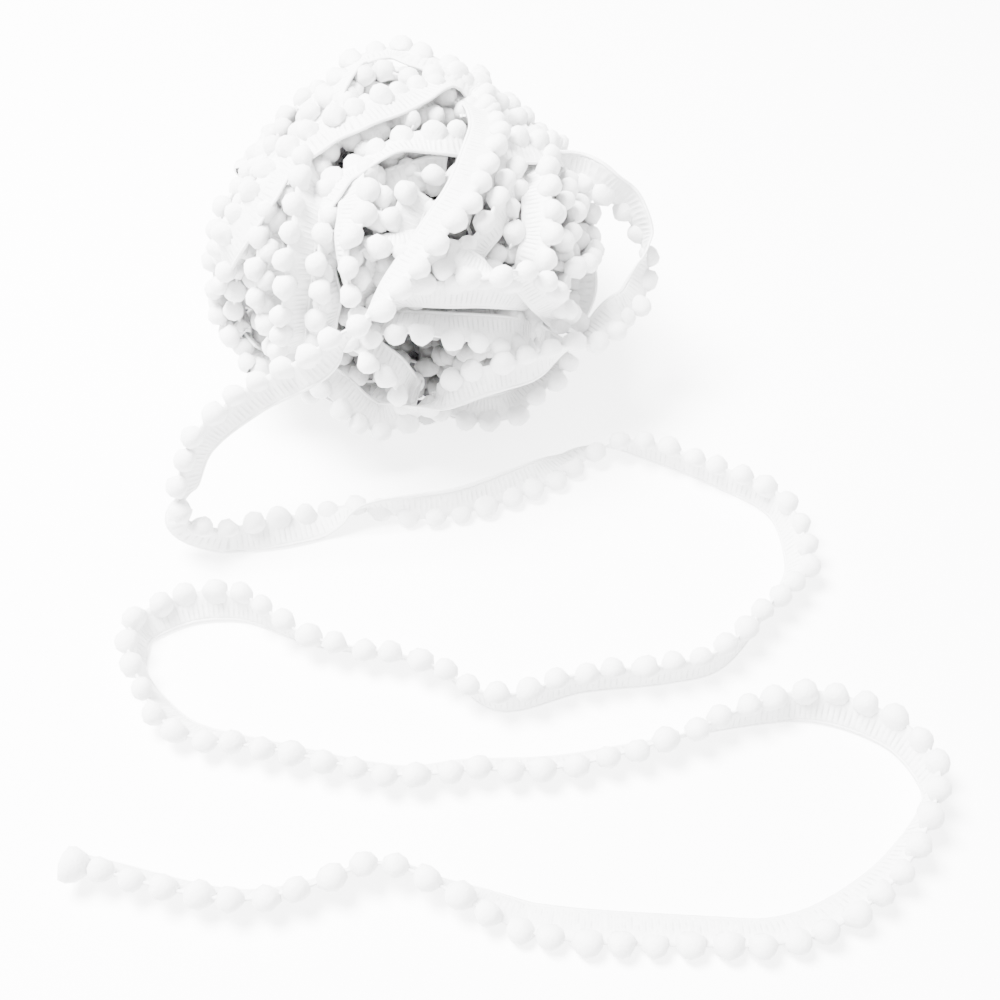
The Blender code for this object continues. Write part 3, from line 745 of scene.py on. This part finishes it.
def shaded_colour(tree, shader, colour, socket=None):
    """Painted shade: a colour that gets darker with depth in the pile, where less light gets in.
    """
    layer = node(tree, 'ShaderNodeAttribute', attribute_name="layer")
    share = node(tree, 'ShaderNodeMapRange', {
        "Value": layer.outputs["Fac"], "From Min": SHADE_FROM, "From Max": SHADE_TO})
    white = node(tree, 'ShaderNodeMix', {"Factor": share.outputs[0]}, data_type='RGBA')
    white.inputs["A"].default_value = linear(SHADE)
    white.inputs["B"].default_value = linear(colour)
    if socket:
        tree.links.new(socket, white.inputs["B"])
    tree.links.new(white.outputs["Result"], shader.inputs["Base Color"])


# %% [markdown]
# The ribs of the cotton tape are modelled. Its finish adds painted shade between two ribs,
# which stops short of the cord and of the pompoms and is weaker in patches, a fine
# grain of threads, and a slight pucker. All of it follows the strip's own coordinates,
# which are in metres.

# %% Cotton tape
def cotton_tape(name, between, thread, deep=False):
    """White tape: its painted shade between the ribs and its colour on them."""
    mat, tree, shader = new_material(name)
    uv = node(tree, 'ShaderNodeUVMap', uv_map="strip")
    place = node(tree, 'ShaderNodeSeparateXYZ', {0: uv.outputs["UV"]})
    turn = node(tree, 'ShaderNodeMath', {0: place.outputs["X"],
                                         1: 2 * math.pi / (RIB * MM)}, operation='MULTIPLY')
    rib = node(tree, 'ShaderNodeMath', {0: turn.outputs[0]}, operation='COSINE')
    fuzz = node(tree, 'ShaderNodeTexNoise', {
        "Vector": uv.outputs["UV"], "Scale": 1400.0, "Detail": 3.0})
    patches = node(tree, 'ShaderNodeTexNoise', {
        "Vector": uv.outputs["UV"], "Scale": 260.0, "Detail": 1.0})
    from_cord = node(tree, 'ShaderNodeMapRange', {
        "Value": place.outputs["Y"], "From Min": 0.0078, "From Max": 0.0086, "To Min": 1.0,
        "To Max": 0.0})
    from_row = node(tree, 'ShaderNodeMapRange', {
        "Value": place.outputs["Y"], "From Min": 0.0025, "From Max": 0.0045, "To Min": 0.0,
        "To Max": 1.0})
    band = node(tree, 'ShaderNodeMath', {0: from_cord.outputs[0], 1: from_row.outputs[0]},
                operation='MULTIPLY')
    strength = node(tree, 'ShaderNodeMapRange', {
        "Value": patches.outputs["Fac"], "From Min": 0.35, "From Max": 0.65, "To Min": 0.1,
        "To Max": 1.0})
    # Painted shade in the slot between two ribs, kept to the middle band and weaker in patches.
    slot = node(tree, 'ShaderNodeMapRange', {
        "Value": rib.outputs[0], "From Min": 0.3, "From Max": 0.9, "To Min": 0.0,
        "To Max": 0.45})
    here = node(tree, 'ShaderNodeMath', {0: slot.outputs[0], 1: band.outputs[0]},
                operation='MULTIPLY')
    there = node(tree, 'ShaderNodeMath', {0: here.outputs[0], 1: strength.outputs[0]},
                 operation='MULTIPLY')
    out_of_rib_shade = node(tree, 'ShaderNodeMath', {0: 1.0, 1: there.outputs[0]}, operation='SUBTRACT')
    speck = node(tree, 'ShaderNodeMapRange', {
        "Value": fuzz.outputs["Fac"], "From Min": 0.3, "From Max": 0.7, "To Min": 0.93,
        "To Max": 1.0})
    both = node(tree, 'ShaderNodeMath', {0: out_of_rib_shade.outputs[0], 1: speck.outputs[0]},
                operation='MULTIPLY')
    colour = node(tree, 'ShaderNodeMix', {
        "Factor": both.outputs[0]}, data_type='RGBA')
    colour.inputs["A"].default_value = linear(between)
    colour.inputs["B"].default_value = linear(thread)
    # The pile's painted shade, darker with depth.
    if deep:
        shaded_colour(tree, shader, thread, colour.outputs["Result"])
    else:
        tree.links.new(colour.outputs["Result"], shader.inputs["Base Color"])
    bump = node(tree, 'ShaderNodeBump', {
        "Strength": 0.5, "Distance": 0.0003, "Height": both.outputs[0]})
    pucker = node(tree, 'ShaderNodeBump', {
        "Strength": 0.6, "Distance": 0.0008, "Height": patches.outputs["Fac"],
        "Normal": bump.outputs[0]})
    tree.links.new(pucker.outputs[0], shader.inputs["Normal"])
    shader.inputs["Roughness"].default_value = 0.9
    shader.inputs["Sheen Weight"].default_value = 0.15
    shader.inputs["Sheen Roughness"].default_value = 0.5
    return mat


# %% Acrylic pompom yarn: cut ends all over, soft and bright at the rim
def pompom_yarn(name, colour, deep=False):
    """White yarn with tufts."""
    mat, tree, shader = new_material(name)
    place = node(tree, 'ShaderNodeTexCoord')
    tufts = node(tree, 'ShaderNodeTexNoise', {
        "Vector": place.outputs["Object"], "Scale": 900.0, "Detail": 4.0,
        "Roughness": 0.65})
    bump = node(tree, 'ShaderNodeBump', {
        "Strength": 0.6, "Distance": 0.0005, "Height": tufts.outputs["Fac"]})
    tree.links.new(bump.outputs[0], shader.inputs["Normal"])
    shader.inputs["Base Color"].default_value = linear(colour)
    # The pile's painted shade, darker with depth.
    if deep:
        shaded_colour(tree, shader, colour)
    shader.inputs["Roughness"].default_value = 0.95
    shader.inputs["Sheen Weight"].default_value = 0.35
    shader.inputs["Sheen Roughness"].default_value = 0.4
    return mat


# Between the ribs the tape is painted #8a8a8a, a painted shade of the grooves.
TAPE = cotton_tape("white cotton tape", "#8a8a8a", "#e0e0e0")
YARN = pompom_yarn("white acrylic pompom yarn", "#e0e0e0")
# The copies for the bed and the core are greyer: painted shade for the light lost deep in the
# pile.
DIM_TAPE = cotton_tape("white cotton tape deep in the pile", "#8c8c8c", "#d4d4d4", True)
DIM_YARN = pompom_yarn("white acrylic pompom yarn deep in the pile", "#d8d8d8", True)
for ob in pieces:
    deep = ob.name.startswith(DEEP)
    ob.data.materials.clear()
    if "pompoms" in ob.name:
        ob.data.materials.append(DIM_YARN if deep else YARN)
    else:
        ob.data.materials.append(DIM_TAPE if deep else TAPE)
    only(ob)
    bpy.ops.object.shade_smooth()
print("finishes:", [m.name for m in (TAPE, YARN, DIM_TAPE, DIM_YARN)])

# %% [markdown]
# ## Into the frame
# Each piece rides on the one body and stands for the solid that it was made from. The
# loose end's tape is a sheet of cloth, 10.4 mm by its length, laid on the floor.

# %% Tie the pieces to the frame
for ob in pieces:
    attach(ob, "root")
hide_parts("tail_tape")
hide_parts("tail_pompoms")
for ob in pieces[2:]:
    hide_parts("wound_bundle")

# %% [markdown]
# ## Floor, light and camera
# White on white: a pale floor that glows a little, a bright even sky and one soft lamp
# from the upper left.

# %% Floor, light and camera
FLOOR_SIZE = 6
FLOOR_GLOW = 3.6
SKY_STRENGTH = 3.0
LAMP_AT = (-0.5, 0.1, 1.2)
LAMP_SIZE = 0.6
LAMP_POWER = 190
LAMP_LEAN = 22.0            # degrees from straight down, towards the trim
CAMERA_AT = (-0.004, -0.318, 0.348)
CAMERA_DOWN = 47.0          # degrees below level
FOCAL = 1342 / 1000         # focal length in picture widths
SENSOR = 36

bpy.ops.mesh.primitive_plane_add(size=FLOOR_SIZE, location=(0, 0, 0))
floor = bpy.context.object
floor.name = "floor"
floor_mat, floor_tree, floor_shader = new_material("pale floor")
floor_shader.inputs["Base Color"].default_value = linear("#e0e0e0")
floor_shader.inputs["Roughness"].default_value = 0.9
floor_shader.inputs["Emission Color"].default_value = linear("#ffffff")
floor_shader.inputs["Emission Strength"].default_value = FLOOR_GLOW
floor.data.materials.append(floor_mat)

world = bpy.data.worlds.new("studio")
world.use_nodes = True
sky = world.node_tree.nodes["Background"]
sky.inputs["Color"].default_value = (1, 1, 1, 1)
sky.inputs["Strength"].default_value = SKY_STRENGTH
bpy.context.scene.world = world

bpy.ops.object.light_add(type='AREA', location=LAMP_AT)
lamp = bpy.context.object
lamp.data.size = LAMP_SIZE
lamp.data.energy = LAMP_POWER
lamp.rotation_euler = (0, math.radians(-LAMP_LEAN), 0)

bpy.ops.object.camera_add(location=CAMERA_AT,
                          rotation=(math.radians(90 - CAMERA_DOWN), 0, 0))
camera = bpy.context.object
camera.data.sensor_width = SENSOR
camera.data.lens = SENSOR * FOCAL
camera.data.clip_start = 0.01
bpy.context.scene.camera = camera
print("camera at, m:", CAMERA_AT, "down, degrees:", CAMERA_DOWN)
